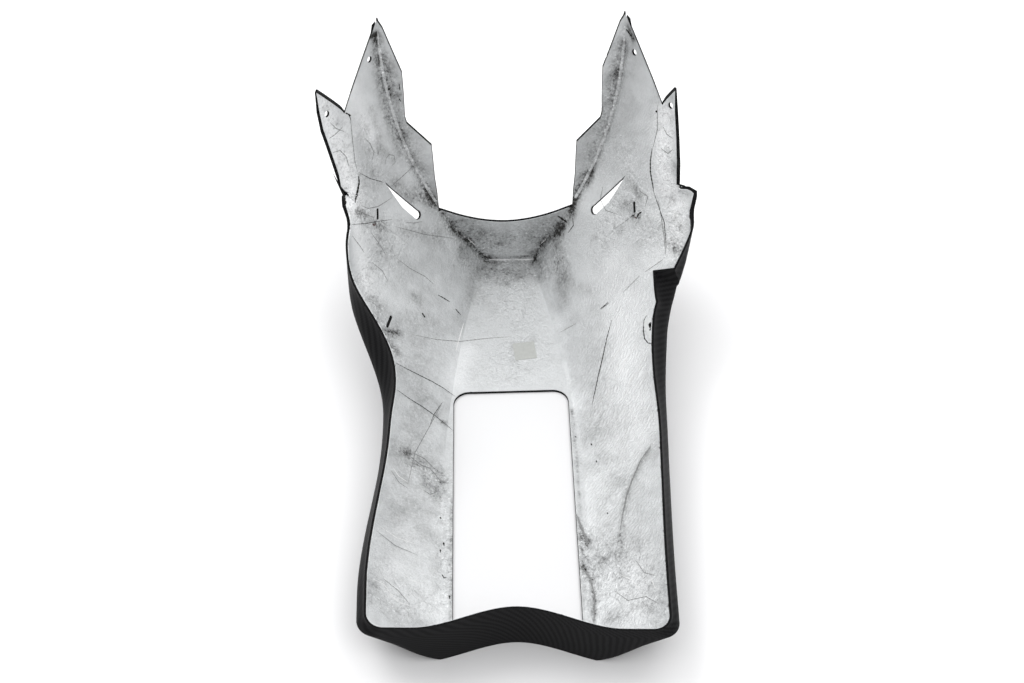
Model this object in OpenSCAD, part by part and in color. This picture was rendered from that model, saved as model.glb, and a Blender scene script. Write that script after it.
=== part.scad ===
// Motorcycle belly pan: one moulded twill shell with a bonded foil heat lining.
// +Y points to the front of the motorcycle, +X to its right, +Z up; the pan stands on z = 0.
// The skin is one loft: columns of points go round the pan, and each climbs from the floor edge
// up a front wall, an oblique flank, a side or the hollowed rear wall. The front view and the
// two side views then trim the skin to its rims.

/* [Skin] */
// Thickness of the moulded laminate
wall_t = 2.2; // [1.6:0.1:3.5]
// Thickness of the bonded foil and its felt
foil_t = 0.8; // [0.5:0.1:1.5]
// How far the foil stops short of every cut edge of the shell
foil_edge = 1.5; // [0.5:0.5:6]

/* [Plan] */
// Rear wall at its corners
rear_y = -402; // [-450:1:-360]
// Front wall at the floor
front_y = 117; // [105:1:135]
// Half width of the floor at the rear wall
floor_rear_w = 77; // [72:1:95]
// Half width of the floor half way along
floor_mid_w = 71; // [68:1:85]
// Half width of the floor at the front wall
floor_front_w = 27; // [18:1:38]

/* [Sides] */
// Half width of the shoulders at the rear
side_rear_w = 153; // [135:1:175]
// Half width of the left shoulder at its waist
left_waist_w = 130; // [118:1:155]
// Half width of the right shoulder behind the exhaust flare
right_waist_w = 157; // [135:1:170]
// Half width of both shoulders at their widest
side_max_w = 166; // [155:1:185]
// Height of the strip between the shoulder and the rim, ahead of the waist
strip_h = 28; // [16:1:40]
// Height of the same strip at the rear corners
rear_strip_h = 13; // [8:1:24]
// Inward lean of the strip at the left waist
waist_lean = 17; // [6:1:24]
// Inward lean of the strip at the rear
rear_lean = 8; // [2:1:14]
// Outward flare of the right side over the exhaust
flare_w = 34; // [10:1:45]
// Front end of the flare
flare_y = 62; // [50:1:70]
// Rear end of the high rim on the flare
notch_y = -10; // [-20:1:10]
// Length of the notch behind the flare
notch_l = 32; // [15:1:45]
// How far the rim steps in at the notch
notch_in = 17; // [5:1:30]

/* [Rims] */
// Height of the rear wall
rear_h = 58; // [40:1:75]
// Rim height where the sides begin to climb
rail_h = 63; // [50:1:85]
// Rim height at the foot of the tongues
foot_h = 152; // [130:1:165]
// How much further back the right rear corner lies than the left one
rear_skew = 12; // [0:1:20]
// How far the middle of the rear wall is hollowed for the wheel
rear_hollow = 24; // [4:1:40]
// Radius of the rear corners at the shoulder, seen from above
rear_corner_r = 18; // [8:1:28]

/* [Front wall and wings] */
// Half width of the front wall at the lip's corners
lip_corner_w = 73; // [66:1:85]
// Height of the lip's corners
lip_corner_h = 92; // [80:1:105]
// Height of the lip in the middle
lip_mid_h = 64; // [45:1:75]
// Height of the wing tips
wing_h = 296; // [270:1:330]
// Forward reach of the wing tips beyond the front wall
wing_reach = 72; // [40:1:100]
// Half width between the wings' front edges at the tips
wing_tip_w = 128; // [115:1:145]
// Height of the left tongue's tip
left_tongue_h = 274; // [240:1:280]
// Height of the right tongue's tip
right_tongue_h = 255; // [235:1:280]
// How far the left tongue's tip stands out from the shoulder
left_tongue_out = 23; // [14:1:32]
// How far the right tongue's tip stands out from the shoulder
right_tongue_out = 10; // [4:1:22]
// Outward step of the tongues from the wings
joggle = 6; // [2:0.5:10]
// Height of the front flanges above the lip's corners
flange_h = 67; // [50:1:80]
// How far the front flanges step out to the wings
flange_w = 28; // [15:1:35]
// How far the rim ahead of the flare stands above the tongues' feet
foot_rise = 10; // [4:1:16]

/* [Openings] */
// Half width of the floor cut-out at its front edge
cut_w = 59.5; // [45:0.5:64]
// Half width of the floor cut-out at its rear edge
cut_rear_w = 63; // [45:0.5:68]
// Front edge of the floor cut-out
cut_front_y = -70; // [-120:1:-40]
// Rear edge of the floor cut-out
cut_rear_y = -374; // [-385:1:-300]
// Corner radius of the floor cut-out
cut_r = 16; // [4:1:30]
// Radius of a vent's round end
vent_r = 4.7; // [3:0.1:7]
// Height of a vent above its round end
vent_l = 54.5; // [40:0.5:62]
// Diameter of the fixing holes in the wings and tongues
hole_d = 6.5; // [5:0.5:10]
// Width of the short slots in the flanks
slot_w = 3; // [2:0.5:6]
// Length of the short slots in the flanks
slot_l = 12; // [8:0.5:20]
// Width of the long slots in the lower sides
side_slot_w = 5; // [3:0.5:8]
// Length of the long slots in the lower sides
side_slot_l = 17; // [12:0.5:24]

/* [Small pieces] */
// Length of the eyelet plate on the right side
plate_l = 30; // [24:0.5:40]
// Width of the eyelet plate
plate_w = 15; // [12:0.5:20]
// Thickness of the eyelet plate
plate_t = 1.5; // [1:0.1:3]
// Gap under the eyelet plate, where its adhesive pad goes
plate_gap = 0.3; // [0.2:0.05:0.5]
// Side of the square blank label on the floor
label_w = 23; // [15:0.5:30]
// Thickness of the label
label_t = 0.4; // [0.2:0.1:1]

/* [Hidden] */
$fn = 48;

function mix(a, b, t) = a + (b - a) * t;
function clip(t) = max(0, min(1, t));
function ease(t) = let(u = clip(t)) u * u * (3 - 2 * u);
// A smooth minimum: two surfaces meet in a fillet about r wide
function soft_min(a, b, r) = let(h = max(r - abs(a - b), 0)) min(a, b) - h * h / (4 * r);

// Wing and front wall
function rise(z) = clip((z - lip_corner_h) / (wing_h - lip_corner_h));
function face_y(z) = front_y + wing_reach * rise(z);
function crease_x(z) = z < lip_corner_h
    ? mix(floor_front_w, lip_corner_w, z / lip_corner_h)
    : mix(lip_corner_w, wing_tip_w, 1 - pow(1 - rise(z), 2.2));
function sweep(z) = mix(0.26, 0.75, clip(z / lip_corner_h));
function flank_x(y, z) = crease_x(z) + sweep(z) * (face_y(z) - y);
function flank_y(x, z) = face_y(z) - (x - crease_x(z)) / sweep(z);

// Floor edge, shoulder and rim along the sides; s is -1 on the left and 1 on the right
mid_y = -176;
waist_y = -132;
climb_y = -200;
foot_y = 70;
out_w = side_max_w + flare_w + 40;
out_y = front_y + wing_reach + 70;
function floor_x(y) = y < mid_y
    ? mix(floor_rear_w, floor_mid_w, ease((y - rear_y) / (mid_y - rear_y)))
    : floor_mid_w - (floor_mid_w - floor_front_w) * pow((y - mid_y) / (front_y - mid_y), 1.55);
function waist_w(s) = s < 0 ? left_waist_w : right_waist_w;
function shoulder_x(y, s) = y < waist_y
    ? mix(side_rear_w, waist_w(s), ease((y + 350) / (waist_y + 350)))
    : mix(waist_w(s), side_max_w, ease((y - waist_y) / 142));
function rim_z(y) = y < climb_y
    ? mix(rear_h, rail_h, clip((y - rear_y) / (climb_y - rear_y)))
    : rail_h + (foot_h - rail_h) * pow(clip((y - climb_y) / (foot_y - climb_y)), 1.35);
function strip(y) = mix(rear_strip_h, strip_h, ease((y - rear_y) / 230));
function shoulder_z(y) = rim_z(min(y, foot_y)) - strip(y);
function flare(y, s) = s < 0 ? 0
    : y > flare_y ? (flare_w - 5) * pow(clip((flare_y + 30 - y) / 30), 2.2)
    : flare_w * ease((y + 60) / 120) - 5 * ease((y - flare_y + 28) / 28);
function lean(y, s) =
    s < 0 ? mix(rear_lean, 0, ease((y + 60) / 90)) + (waist_lean - rear_lean) * ease(1 - abs(y + 84) / 78)
    : y > notch_y ? mix(rear_lean, 2, ease((y + 30) / 80))
    : rear_lean + 6 * ease(1 - abs(y + 70) / 110) + notch_in * clip((y - notch_y + notch_l) / notch_l);
function side_x(y, z, s) =
    let(zs = shoulder_z(y), f = floor_x(y), w = shoulder_x(y, s))
    z < zs ? mix(f, w, pow(z / zs, 0.94))
    : w - lean(y, s) * ease((z - zs) / strip(y)) + 0.22 * max(0, z - foot_h + 10);
function half_w(y, z, s) =
    let(x = soft_min(side_x(y, z, s), flank_x(y, z), 1 + 9 * clip(z / 30)),
        over = joggle * ease((x - side_max_w + 10) / 4) * ease((z - foot_h + 12) / 25),
        low = mix(shoulder_z(y) - 18, foot_h - 24, ease((y - 20) / 60)))
    x + over + flare(y, s) * ease((z - low) / 30) * ease((foot_h + 42 - z) / 22);

// Columns round the pan, each a function of its place along the loop
face_n = 5;
flank_f = [0.02, 0.1, 0.22, 0.36, 0.5, 0.64, 0.76, 0.88];
side_y = [flare_y + 4, flare_y, 38, 14, notch_y + 0.5, notch_y - 1.5, notch_y - 16, notch_y - notch_l,
    -62, -83, -106, -132, -164, -200, -245, -290, -335, -372];
corner_n = 3;
rear_f = [0.8, 0.6, 0.42, 0.26, 0.12, 0];
half_n = face_n + len(flank_f) + len(side_y) + corner_n + len(rear_f);
function rear_bend(x) = rear_y - rear_skew * x / 2 / side_rear_w + rear_hollow * ease(1 - abs(x) / 100);
function corner_r(z) = mix(3, rear_corner_r, clip(z / 30));
function column(i, z, s) =
    let(a = i - face_n, b = a - len(flank_f), c = b - len(side_y), d = c - corner_n)
    i < face_n ? [s * crease_x(z) * i / face_n, face_y(z)]
    : a < len(flank_f) ? let(y = mix(face_y(z), side_y[0], flank_f[a])) [s * half_w(y, z, s), y]
    : b < len(side_y) ? [s * half_w(side_y[b], z, s), side_y[b]]
    : let(w = half_w(rear_y, z, s), r = corner_r(z))
      c < corner_n ? let(t = 90 * (c + 0.5) / corner_n, x = w - r + r * cos(t))
          [s * x, rear_bend(s * x) + r - r * sin(t)]
    : let(x = (w - r) * rear_f[d]) [s * x, rear_bend(s * x)];

// Heights of the rows in a column: floor to shoulder, strip, and what the trims take away
low_n = 4;
strip_n = 3;
high_n = 6;
rows = low_n + strip_n + high_n;
function is_front(i) = i < face_n + len(flank_f);
function knee_z(i) = is_front(i) ? lip_corner_h
    : shoulder_z(i < half_n - len(rear_f) - corner_n ? side_y[i - face_n - len(flank_f)] : rear_y);
function row_z(i, j) =
    let(k = knee_z(i), h = is_front(i) ? 54 : strip_h + 1, top = is_front(i) ? wing_h + 8 : k + h + 16)
    j <= low_n ? k * j / low_n
    : j <= low_n + strip_n ? k + h * (j - low_n) / strip_n
    : mix(k + h, top, (j - low_n - strip_n) / high_n);

// The outer grid goes down the left side from the middle of the front wall and back up the right
loop_n = 2 * half_n - 2;
function grid_point(k, j) =
    let(s = k < half_n ? -1 : 1, i = s < 0 ? k : loop_n - k, z = row_z(i, j), p = column(i, z, s))
    [p[0], p[1], z];
outer = [for (k = [0:loop_n - 1]) [for (j = [0:rows]) grid_point(k, j)]];
function unit(v) = v / max(norm(v), 1e-9);
function facet(k, j) =
    let(a = outer[(k + loop_n) % loop_n], b = outer[(k + 1 + loop_n) % loop_n])
    j < 0 ? [0, 0, 1] : unit(cross(a[min(j + 1, rows)] - a[min(j, rows - 1)],
        b[min(j, rows - 1)] - a[min(j, rows - 1)]) + cross(b[min(j, rows - 1)] - b[min(j + 1, rows)],
        a[min(j + 1, rows)] - b[min(j + 1, rows)]));
// Moves a point inward so that the skin keeps its thickness at folds too
function inward(k, j) =
    let(n = [facet(k, j), facet(k - 1, j), facet(k, j - 1), facet(k - 1, j - 1)],
        m = unit(n[0] + n[1] + n[2] + n[3]),
        c = (m * n[0] + m * n[1] + m * n[2] + m * n[3]) / 4)
    m / max(c, 0.62);
inner_dir = [for (k = [0:loop_n - 1]) [for (j = [0:rows]) inward(k, j)]];
function skin(depth) = [for (k = [0:loop_n - 1]) for (j = [0:rows])
    let(p = outer[k][j] + inner_dir[k][j] * depth) [p[0], p[1], j == 0 ? depth : p[2]]];

// A closed solid between two depths of the skin
module skin_layer(d0, d1) {
    per = rows + 1;
    half = loop_n * per;
    function at(k, j) = (k % loop_n) * per + j;
    walls = [for (k = [0:loop_n - 1]) for (j = [0:rows - 1])
        for (q = [[at(k, j), at(k + 1, j), at(k + 1, j + 1), at(k, j + 1)]])
        each [[q[0], q[3], q[2]], [q[0], q[2], q[1]],
              [half + q[0], half + q[2], half + q[3]], [half + q[0], half + q[1], half + q[2]]]];
    tops = [for (k = [0:loop_n - 1]) for (a = [at(k, rows)]) for (b = [at(k + 1, rows)])
        each [[a, half + a, half + b], [a, half + b, b]]];
    hub = 2 * half;
    floors = [for (k = [0:loop_n - 1]) each [[at(k, 0), at(k + 1, 0), hub], [half + at(k + 1, 0), half + at(k, 0), hub + 1]]];
    polyhedron(points = concat(skin(d0), skin(d1), [[0, -100, d0], [0, -100, d1]]), faces = concat(walls, tops, floors));
}

// Front view: what stays of the front wall, a wing and its tongue
function lip_z(x) = mix(lip_mid_h, lip_corner_h - 4, pow(clip(x / lip_corner_w), 1.9));
function tongue_w(s) = side_max_w + (s < 0 ? left_tongue_out : right_tongue_out);
function tongue_h(s) = s < 0 ? left_tongue_h : right_tongue_h;
function half_outline(s) =
    let(lw = lip_corner_w, lh = lip_corner_h, tw = wing_tip_w, wh = wing_h, fw = lw + flange_w, fh = lh + flange_h,
        tx = tongue_w(s), tz = tongue_h(s), foot = foot_h + foot_rise)
    [for (p = concat(
        [for (i = [0:8]) let(x = (lw - 2) * i / 8) [x, lip_z(x)]],
        [[lw - 1, mix(lh, fh, 0.18)], [lw + 1, mix(lh, fh, 0.45)], [lw + 2, mix(lh, fh, 0.75)], [lw + 3, fh]],
        [[fw, fh + 25], [fw + 1.5, fh + 31], [fw + 1.7, mix(fh + 31, wh - 33, 0.33)],
         [fw + 2.5, mix(fh + 31, wh - 33, 0.66)], [tw - 15, wh - 33], [tw - 6.5, wh - 10], [tw - 3, wh - 4]],
        [[tw - 2, wh], [tw - 0.6, wh - 1], [tw - 0.6, wh - 9], [tw + 0.6, wh - 9], [tw + 0.6, wh - 4],
         [tw + 4, wh - 5], [tw + 5.5, wh - 12], [tw + 27.5, wh - 49], [tw + 34.5, wh - 64.5]],
        [[tx - 2, tz - 1.5], [tx, tz]],
        s < 0 ? [[tx - 0.5, tz - 20], [tx - 3.3, mix(foot, tz, 0.643)], [tx - 11.2, mix(foot, tz, 0.357)],
                 [tx - 16, mix(foot, tz, 0.19)], [tx - 21.5, foot]]
              : [[tx + 1.5, tz - 20], [tx + 2.7, mix(foot, tz, 0.54)], [tx + 3.7, foot]],
        [[out_w, foot], [out_w, -10]])) [s * p[0], p[1]]];
// Each trim is set back by a margin where it cuts the lining
module front_keep(back) {
    left = half_outline(-1);
    right = half_outline(1);
    translate([0, out_y, 0]) rotate([90, 0, 0]) linear_extrude(out_y - flare_y - 4.1)
        offset(delta = -back) polygon(concat([for (i = [len(left) - 1:-1:1]) left[i]], right));
}

// Side view: what stays of one side behind the wings
module side_keep(s, back) {
    front = flare_y + 4.2 + back;
    low = foot_h / 2;
    ys = concat([rear_y - 40, rear_y], [for (i = [0:24]) mix(climb_y, front, i / 24)]);
    rim = [for (y = ys) [y, rim_z(max(y, rear_y)) + (foot_rise + 2) * ease((y - foot_y + 30) / 25)]];
    mirror([s < 0 ? 1 : 0, 0, 0]) rotate([90, 0, 90]) linear_extrude(out_w)
        offset(delta = -back) polygon(concat([[rear_y - 40, -10]], rim, [[front, low], [out_y, low], [out_y, -10]]));
}
module trimmed(d0, d1, back) {
    intersection() {
        skin_layer(d0, d1);
        union() {
            front_keep(back);
            side_keep(-1, back);
            side_keep(1, back);
        }
    }
}

// Openings. Each is grown a little where it passes through the lining
module floor_cut(grow) {
    r = cut_r + grow;
    translate([0, 0, -5]) linear_extrude(20) hull() for (x = [-1, 1]) {
        translate([x * (cut_w + grow - r), cut_front_y + grow - r]) circle(r);
        translate([x * (cut_rear_w + grow - r), cut_rear_y - grow + r]) circle(r);
    }
}
// A vent is a drop: a round end, a straight upper edge and a bowed lower one that meet in a point
module vent(s, grow) {
    r = vent_r;
    on_skin(front_y - 22, lip_corner_h + 26, s) translate([0, 0, -12]) linear_extrude(24)
        translate([9.2, -22.3]) {
            circle(r + grow);
            offset(r = grow, $fn = 12) polygon([[-15.7, vent_l], [-13.8, 0.68 * vent_l], [-11.4, 0.34 * vent_l],
                [-0.98 * r, -0.2 * r], [0, 0], [0.96 * r, 0.28 * r]]);
        }
}
// Puts children on the skin at this y and z: their x axis runs forward, y up and z outward
module on_skin(y, z, s) {
    x = half_w(y, z, s);
    ty = unit([s * (half_w(y + 2, z, s) - half_w(y - 2, z, s)) / 4, 1, 0]);
    tz = [s * (half_w(y, z + 2, s) - half_w(y, z - 2, s)) / 4, 0, 1];
    n = unit(cross(ty, tz)) * s;
    u = cross(n, ty);
    multmatrix([[ty[0], u[0], n[0], s * x], [ty[1], u[1], n[1], y], [ty[2], u[2], n[2], z], [0, 0, 0, 1]])
        mirror([0, s < 0 ? 1 : 0, 0]) children();
}
module oblong(l, w) {
    square([l - w, w], center = true);
    for (i = [-1, 1]) translate([i * (l - w) / 2, 0]) circle(w / 2);
}
module slot(l, w) {
    translate([0, 0, -12]) linear_extrude(24) oblong(l, w);
}
// The two fixing holes of one side are drilled along one direction, square to the line between them
hole_dir = [0.746, 0.6245, -0.232];
function hole_at(s) = [
    [wing_tip_w + 9.5, wing_h - 34, 0],
    s < 0 ? [tongue_w(s) - 8.15, left_tongue_h - 30.7, joggle] : [tongue_w(s) - 3.7, right_tongue_h - 19.6, joggle]];
module fixing_holes(s, grow) {
    d = unit([s * hole_dir[0], hole_dir[1], hole_dir[2]]);
    for (p = hole_at(s))
        translate([s * p[0], flank_y(p[0] - p[2], p[1]), p[1]]) rotate([0, acos(d[2]), atan2(d[1], d[0])])
            cylinder(d = hole_d + 2 * grow, h = 24, center = true);
}
// The long slots lie a little below the shoulder
module on_side_slot(s) {
    y = s < 0 ? -18 : notch_y - 36;
    on_skin(y, shoulder_z(y) - (s < 0 ? 30 : 10), s) children();
}
module holes(grow) {
    floor_cut(grow);
    for (s = [-1, 1]) {
        vent(s, grow);
        fixing_holes(s, grow / 2);
        on_skin(flare_y + 9.3, foot_h - 24.4, s) rotate(54) slot(slot_l + 2 * grow, slot_w + 2 * grow);
        on_side_slot(s) slot(side_slot_l + 2 * grow, side_slot_w + 2 * grow);
    }
}

module shell() {
    color([0.07, 0.075, 0.08]) difference() {
        trimmed(0, wall_t, 0);
        holes(0);
    }
}
module lining() {
    color([0.78, 0.79, 0.8]) difference() {
        trimmed(wall_t, wall_t + foil_t, foil_edge);
        holes(foil_edge);
    }
}
module eyelet_plate() {
    color([0.7, 0.71, 0.72]) on_side_slot(1)
        translate([0, 0, -wall_t - foil_t - plate_gap - plate_t]) difference() {
            linear_extrude(plate_t) oblong(plate_l, plate_w);
            slot(side_slot_l, side_slot_w);
        }
}
module label() {
    color([0.86, 0.87, 0.86]) translate([16, -16, wall_t + foil_t]) rotate(7)
        linear_extrude(label_t) square(label_w, center = true);
}

shell();
lining();
eyelet_plate();
label();
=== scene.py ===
import math
import bpy
import numpy
from mathutils import Matrix, Vector
from mathutils.bvhtree import BVHTree


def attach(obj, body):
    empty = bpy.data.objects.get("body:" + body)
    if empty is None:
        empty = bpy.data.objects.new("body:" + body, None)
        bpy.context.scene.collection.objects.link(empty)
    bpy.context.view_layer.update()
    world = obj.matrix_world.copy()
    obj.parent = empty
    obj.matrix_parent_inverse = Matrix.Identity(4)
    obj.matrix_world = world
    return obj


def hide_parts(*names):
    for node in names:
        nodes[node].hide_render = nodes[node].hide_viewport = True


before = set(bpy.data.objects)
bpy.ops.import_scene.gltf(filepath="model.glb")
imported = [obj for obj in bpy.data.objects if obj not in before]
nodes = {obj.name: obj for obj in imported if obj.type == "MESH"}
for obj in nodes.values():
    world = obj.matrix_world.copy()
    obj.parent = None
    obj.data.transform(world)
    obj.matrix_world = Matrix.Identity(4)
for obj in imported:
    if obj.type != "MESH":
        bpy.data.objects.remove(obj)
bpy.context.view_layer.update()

# Small helpers


def mix(a, b, t):
    return a + (b - a) * t


def clip(t):
    return max(0.0, min(1.0, t))


def ease(t):
    t = clip(t)
    return t * t * (3 - 2 * t)


def softMin(a, b, r):  # two surfaces meet in a fillet about r wide
    h = max(r - abs(a - b), 0)
    return min(a, b) - h * h / (4 * r)


def unit(v):
    return v / max(v.length, 1e-9)


def between(stations, step):  # splits every gap in a list so that no step is longer
    made = [stations[0]]
    for a, b in zip(stations, stations[1:]):
        n = max(1, math.ceil(abs(b - a) / step))
        made += [mix(a, b, i / n) for i in range(1, n + 1)]
    return made


def dress(piece, material):
    piece.data.materials.clear()
    piece.data.materials.append(material)


def srgb(text):  # an sRGB hex colour to Blender's linear one
    parts = [int(text[i:i + 2], 16) / 255 for i in (1, 3, 5)]
    return tuple(c / 12.92 if c <= 0.04045 else ((c + 0.055) / 1.055) ** 2.4 for c in parts) + (1,)


def addNode(tree, kind, feeds=None, **settings):  # feeds: nodes, sockets or values by input
    node = tree.nodes.new("ShaderNode" + kind)
    for name, value in settings.items():
        setattr(node, name, value)
    for place, feed in (feeds or {}).items():
        if isinstance(feed, bpy.types.Node):
            feed = feed.outputs[0]
        if isinstance(feed, bpy.types.NodeSocket):
            tree.links.new(feed, node.inputs[place])
        else:
            node.inputs[place].default_value = feed
    return node


def newMaterial(name):
    material = bpy.data.materials.new(name)
    material.use_nodes = True
    tree = material.node_tree
    tree.nodes.clear()
    return material, tree, addNode(tree, "TexCoord").outputs["Object"]


def newObject(name, points, faces, material=None, smooth=None):  # points in millimetres
    mesh = bpy.data.meshes.new(name)
    mesh.from_pydata([Vector(p) / 1000 for p in points], [], faces)
    mesh.validate()
    piece = bpy.data.objects.new(name, mesh)
    bpy.context.scene.collection.objects.link(piece)
    if material:
        mesh.materials.append(material)
    if smooth is not None:
        mesh.shade_smooth()
        mesh.set_sharp_from_angle(angle=math.radians(smooth))
    return piece


# The pan's skin, in millimetres, worked out as the solid model is but on a finer grid
pan = dict(
    wall=2.2, foil=0.8, foilEdge=0.5,
    rearY=-402, frontY=117, floorRear=77, floorMid=71, floorFront=27,
    sideRear=153, leftWaist=130, rightWaist=157, sideMax=166,
    strip=28, rearStrip=13, waistLean=17, rearLean=8,
    flare=34, flareY=62, notchY=-10, notchL=32, notchIn=17,
    rearH=58, railH=63, footH=152, rearSkew=12, rearHollow=24, rearCorner=18,
    lipW=73, lipH=92, lipMidH=64, wingH=296, wingReach=72, wingTip=128,
    leftTongue=274, rightTongue=255, leftReach=189, rightReach=176, joggle=6,
    cutFront=59.5, cutRear=63, cutFrontY=-70, cutRearY=-374, cutR=16, ventR=4.7,
    hole=6.5, slotW=3, slotL=12, slotTurn=54, sideSlotW=5, sideSlotL=17)
midY, waistY, climbY, footY = -176, -132, -200, 70  # where floor, waist, rim and tongues change course


def rise(z):
    return clip((z - pan["lipH"]) / (pan["wingH"] - pan["lipH"]))


def faceY(z):
    return pan["frontY"] + pan["wingReach"] * rise(z)


def creaseX(z):
    if z < pan["lipH"]:
        return mix(pan["floorFront"], pan["lipW"], z / pan["lipH"])
    return mix(pan["lipW"], pan["wingTip"], 1 - (1 - rise(z)) ** 2.2)


def flankX(y, z):
    return creaseX(z) + mix(0.26, 0.75, clip(z / pan["lipH"])) * (faceY(z) - y)


def floorX(y):
    rear, middle, front = pan["floorRear"], pan["floorMid"], pan["floorFront"]
    if y < midY:
        return mix(rear, middle, ease((y - pan["rearY"]) / (midY - pan["rearY"])))
    return middle - (middle - front) * clip((y - midY) / (pan["frontY"] - midY)) ** 1.55


def shoulderX(y, s):
    waist = pan["leftWaist"] if s < 0 else pan["rightWaist"]
    if y < waistY:
        return mix(pan["sideRear"], waist, ease((y + 350) / (waistY + 350)))
    return mix(waist, pan["sideMax"], ease((y - waistY) / 142))


def rimZ(y):
    if y < climbY:
        return mix(pan["rearH"], pan["railH"], clip((y - pan["rearY"]) / (climbY - pan["rearY"])))
    return pan["railH"] + (pan["footH"] - pan["railH"]) * clip((y - climbY) / (footY - climbY)) ** 1.35


def stripH(y):
    return mix(pan["rearStrip"], pan["strip"], ease((y - pan["rearY"]) / 230))


def shoulderZ(y):
    return rimZ(min(y, footY)) - stripH(y)


def flare(y, s):
    if s < 0:
        return 0
    if y > pan["flareY"]:
        return (pan["flare"] - 5) * clip((pan["flareY"] + 30 - y) / 30) ** 2.2
    return pan["flare"] * ease((y + 60) / 120) - 5 * ease((y - pan["flareY"] + 28) / 28)


def lean(y, s):
    if s < 0:
        waist = (pan["waistLean"] - pan["rearLean"]) * ease(1 - abs(y + 84) / 78)
        return mix(pan["rearLean"], 0, ease((y + 60) / 90)) + waist
    if y > pan["notchY"]:
        return mix(pan["rearLean"], 2, ease((y + 30) / 80))
    notch = pan["notchIn"] * clip((y - pan["notchY"] + pan["notchL"]) / pan["notchL"])
    return pan["rearLean"] + 6 * ease(1 - abs(y + 70) / 110) + notch


def sideX(y, z, s):
    knee, wide = shoulderZ(y), shoulderX(y, s)
    if z < knee:
        return mix(floorX(y), wide, (z / knee) ** 0.94)
    return wide - lean(y, s) * ease((z - knee) / stripH(y)) + 0.22 * max(0, z - pan["footH"] + 10)


def halfW(y, z, s):  # half width of the outer skin at this place
    x = softMin(sideX(y, z, s), flankX(y, z), 1 + 9 * clip(z / 30))
    over = pan["joggle"] * ease((x - 156) / 4) * ease((z - 140) / 25)
    low = mix(shoulderZ(y) - 18, 128, ease((y - 20) / 60))
    return x + over + flare(y, s) * ease((z - low) / 30) * ease((194 - z) / 22)


def rearBend(x):
    slant = pan["rearSkew"] * x / 2 / pan["sideRear"]
    return pan["rearY"] - slant + pan["rearHollow"] * ease(1 - abs(x) / 100)


# Columns of the grid from the middle of the front wall round to the middle of the rear wall
grid = dict(face=14, flank=52, step=5, corner=10, rear=24, low=24, strip=10, high=44, rings=16, hubY=-100)
sideStations = between([pan["flareY"] + 4, pan["flareY"], pan["notchY"] + 0.5, pan["notchY"] - 1.5,
                        pan["notchY"] - pan["notchL"], pan["rearY"] + 30], grid["step"])
columns = ([("face", i / grid["face"]) for i in range(grid["face"])]
           + [("flank", mix(0.008, 0.97, i / (grid["flank"] - 1))) for i in range(grid["flank"])]
           + [("side", y) for y in sideStations]
           + [("corner", (i + 0.5) / grid["corner"]) for i in range(grid["corner"])]
           + [("rear", 1 - i / grid["rear"]) for i in range(1, grid["rear"] + 1)])
rows = grid["low"] + grid["strip"] + grid["high"]


def rowZ(kind, where, j):
    front = kind in ("face", "flank")
    knee = pan["lipH"] if front else shoulderZ(where if kind == "side" else pan["rearY"])
    middle = knee + (54 if front else pan["strip"] + 1)
    top = pan["wingH"] + 8 if front else middle + 16
    if j <= grid["low"]:
        return knee * j / grid["low"]
    if j <= grid["low"] + grid["strip"]:
        return mix(knee, middle, (j - grid["low"]) / grid["strip"])
    return mix(middle, top, (j - grid["low"] - grid["strip"]) / grid["high"])


def gridPoint(kind, where, j, s):
    z = rowZ(kind, where, j)
    if kind == "face":
        return Vector((s * creaseX(z) * where, faceY(z), z))
    if kind == "flank":
        y = mix(faceY(z), sideStations[0], where)
        return Vector((s * halfW(y, z, s), y, z))
    if kind == "side":
        return Vector((s * halfW(where, z, s), where, z))
    wide, r = halfW(pan["rearY"], z, s), mix(3, pan["rearCorner"], clip(z / 30))
    if kind == "corner":
        turn = math.radians(90 * where)
        x = wide - r + r * math.cos(turn)
        return Vector((s * x, rearBend(s * x) + r - r * math.sin(turn), z))
    x = (wide - r) * where
    return Vector((s * x, rearBend(s * x), z))


loop = ([(k, w, -1) for k, w in columns]
        + [(k, w, 1) for k, w in reversed(columns[1:-1])])
outer = [[gridPoint(k, w, j, s) for j in range(rows + 1)] for k, w, s in loop]


def facetNormal(k, j):
    a, b = outer[k % len(loop)], outer[(k + 1) % len(loop)]
    if j < 0:
        return Vector((0, 0, 1))
    lo, hi = min(j, rows - 1), min(j + 1, rows)
    return unit((a[hi] - a[lo]).cross(b[lo] - a[lo]) + (b[lo] - b[hi]).cross(a[hi] - b[hi]))


def inwardDir(k, j):  # keeps the wall's thickness at folds, and caps it at the sharpest
    around = [facetNormal(k, j), facetNormal(k - 1, j), facetNormal(k, j - 1), facetNormal(k - 1, j - 1)]
    m = unit(sum(around, Vector()))
    return m / max(sum(m.dot(n) for n in around) / 4, 0.62)


inward = [[inwardDir(k, j) for j in range(rows + 1)] for k in range(len(loop))]


def runLength(points):
    total, made = 0, [0]
    for a, b in zip(points, points[1:]):
        total += (b - a).length
        made.append(total)
    return made


aroundRun = runLength([column[grid["low"]] for column in outer] + [outer[0][grid["low"]]])
upRun = [runLength(column) for column in outer]


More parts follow.
